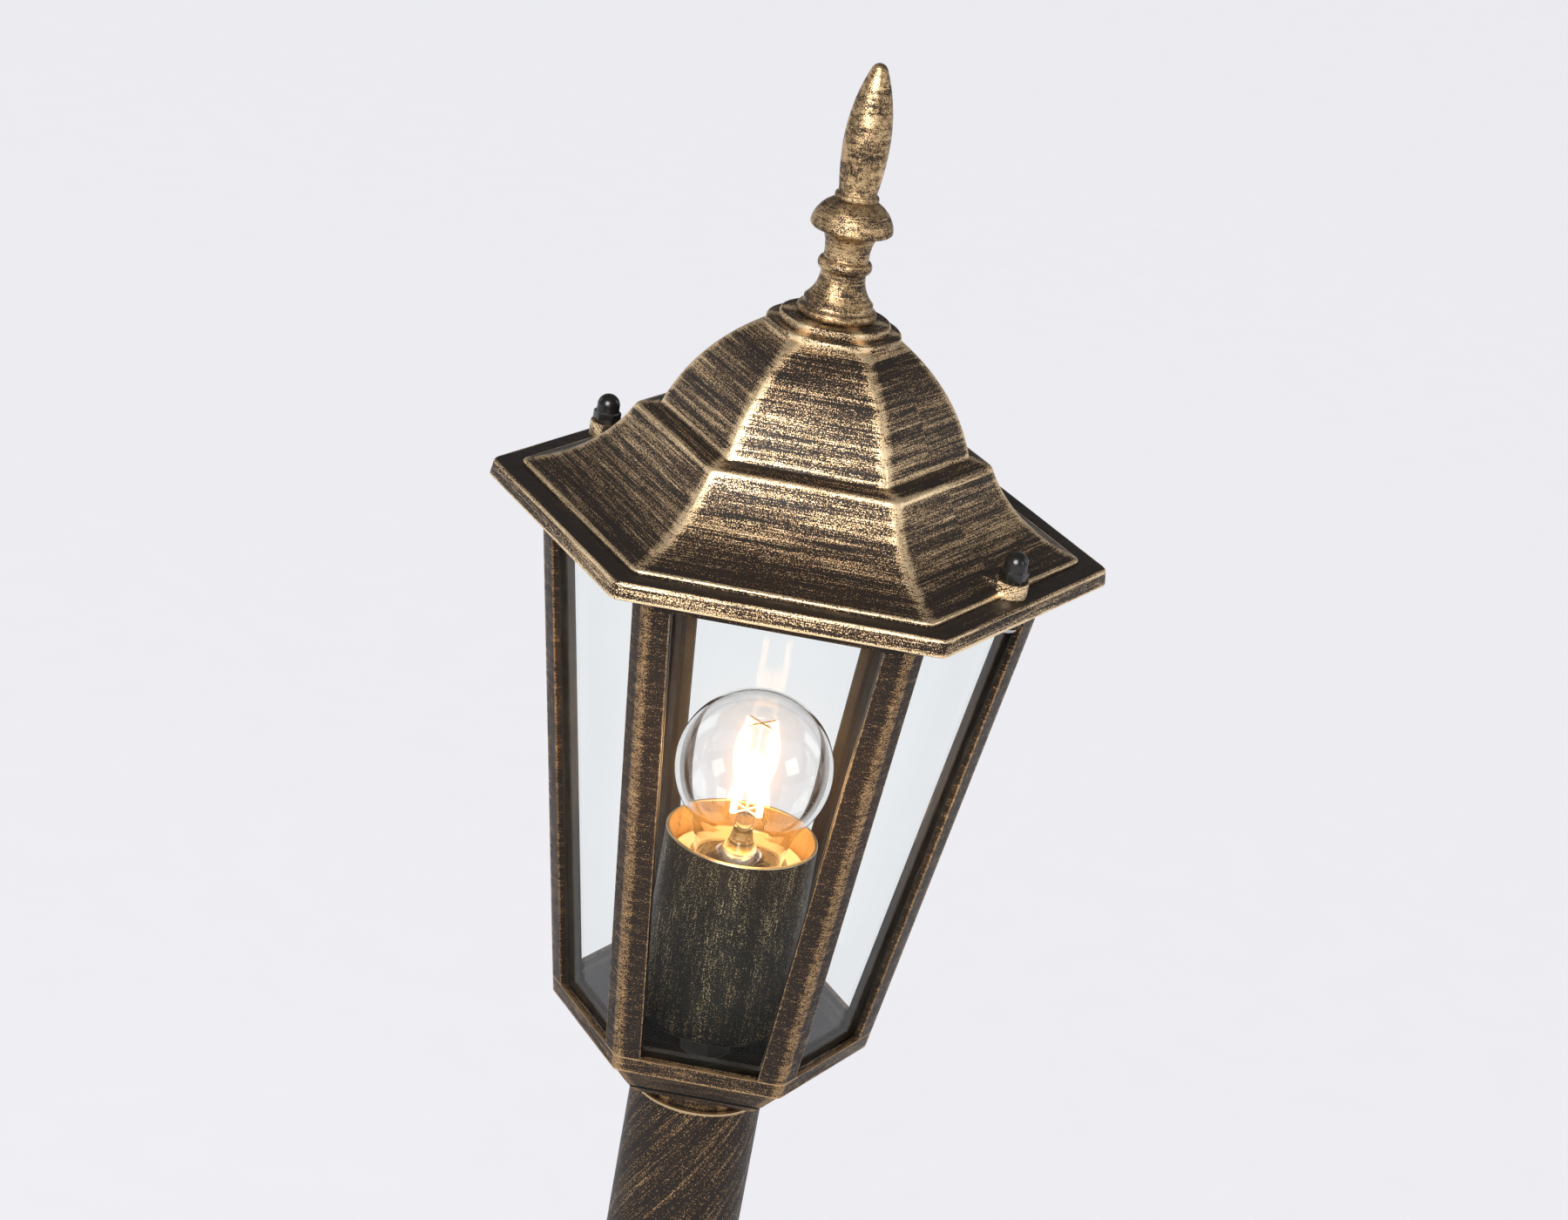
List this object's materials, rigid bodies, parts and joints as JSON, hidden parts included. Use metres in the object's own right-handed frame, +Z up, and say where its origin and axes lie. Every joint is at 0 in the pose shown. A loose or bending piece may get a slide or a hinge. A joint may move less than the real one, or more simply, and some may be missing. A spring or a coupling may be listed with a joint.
{
  "type": "garden light",
  "caption": "Post-top garden lantern with a glazed six-sided frame, flared roof with finial, clear golf-ball bulb, round pole and cast base.",
  "frame": {"origin": "centre of the base's underside, on the ground", "axes": "+Z up along the pole; a flat side of the six-sided lantern faces -Y and its corners lie at 0, 60, 120 degrees about Z"},
  "size_m": [0.173, 0.16, 0.8],
  "materials": {
    "antique_gold": "satin",
    "antique_black": "satin",
    "bare_steel": "satin",
    "black_steel": "gloss",
    "clear_glass": "polished",
    "porcelain": "gloss",
    "brass": "satin",
    "light_metal": "satin",
    "black_plastic": "satin",
    "white_plastic": "satin",
    "cable_rubber": "matte",
    "lit_filament": "satin"
  },
  "bodies": {
    "post_and_lantern": {"base_flange": "antique_gold", "pole": "antique_black", "tie_rod": "bare_steel", "tie_washer": "bare_steel", "tie_nut": "bare_steel", "lantern_frame": "antique_gold", "glass_pane_1": "clear_glass", "glass_pane_2": "clear_glass", "glass_pane_3": "clear_glass", "glass_pane_4": "clear_glass", "glass_pane_5": "clear_glass", "glass_pane_6": "clear_glass", "roof_stud_front": "bare_steel", "roof_stud_rear": "bare_steel", "clamp_nut": "bare_steel", "lamp_cup": "antique_black", "holder_body": "porcelain", "holder_shell": "brass", "holder_contact": "brass", "holder_screws": "brass", "terminal_block": "white_plastic", "terminal_screws": "bare_steel", "block_screw": "bare_steel", "earth_screw": "brass", "internal_cable": "cable_rubber"},
    "bulb": {"bulb_cap": "light_metal", "bulb_insulator": "black_plastic", "bulb_contact": "light_metal", "bulb_glass": "clear_glass", "bulb_stem": "clear_glass", "bulb_leads": "bare_steel", "bulb_filaments": "lit_filament"},
    "roof_cap": {"roof": "antique_gold", "finial": "antique_gold", "finial_stud": "bare_steel", "finial_washer": "bare_steel", "finial_nut": "bare_steel"},
    "front_nut": {"cap_nut_front": "black_steel"},
    "rear_nut": {"cap_nut_rear": "black_steel"}
  },
  "joints": [
    {"name": "roof_lift", "type": "slide", "parent": "post_and_lantern", "child": "roof_cap", "axis": [0, 0, 1], "range_m": [0, 0.09]},
    {"name": "bulb_turn", "type": "hinge", "parent": "post_and_lantern", "child": "bulb", "pos_m": [0, 0, 0.5966], "axis": [0, 0, 1], "continuous": true},
    {"name": "front_nut_turn", "type": "hinge", "parent": "roof_cap", "child": "front_nut", "pos_m": [0.05872, -0.0339, 0.6783], "axis": [0, 0, 1], "continuous": true},
    {"name": "rear_nut_turn", "type": "hinge", "parent": "roof_cap", "child": "rear_nut", "pos_m": [-0.05872, 0.0339, 0.6783], "axis": [0, 0, 1], "continuous": true}
  ]
}
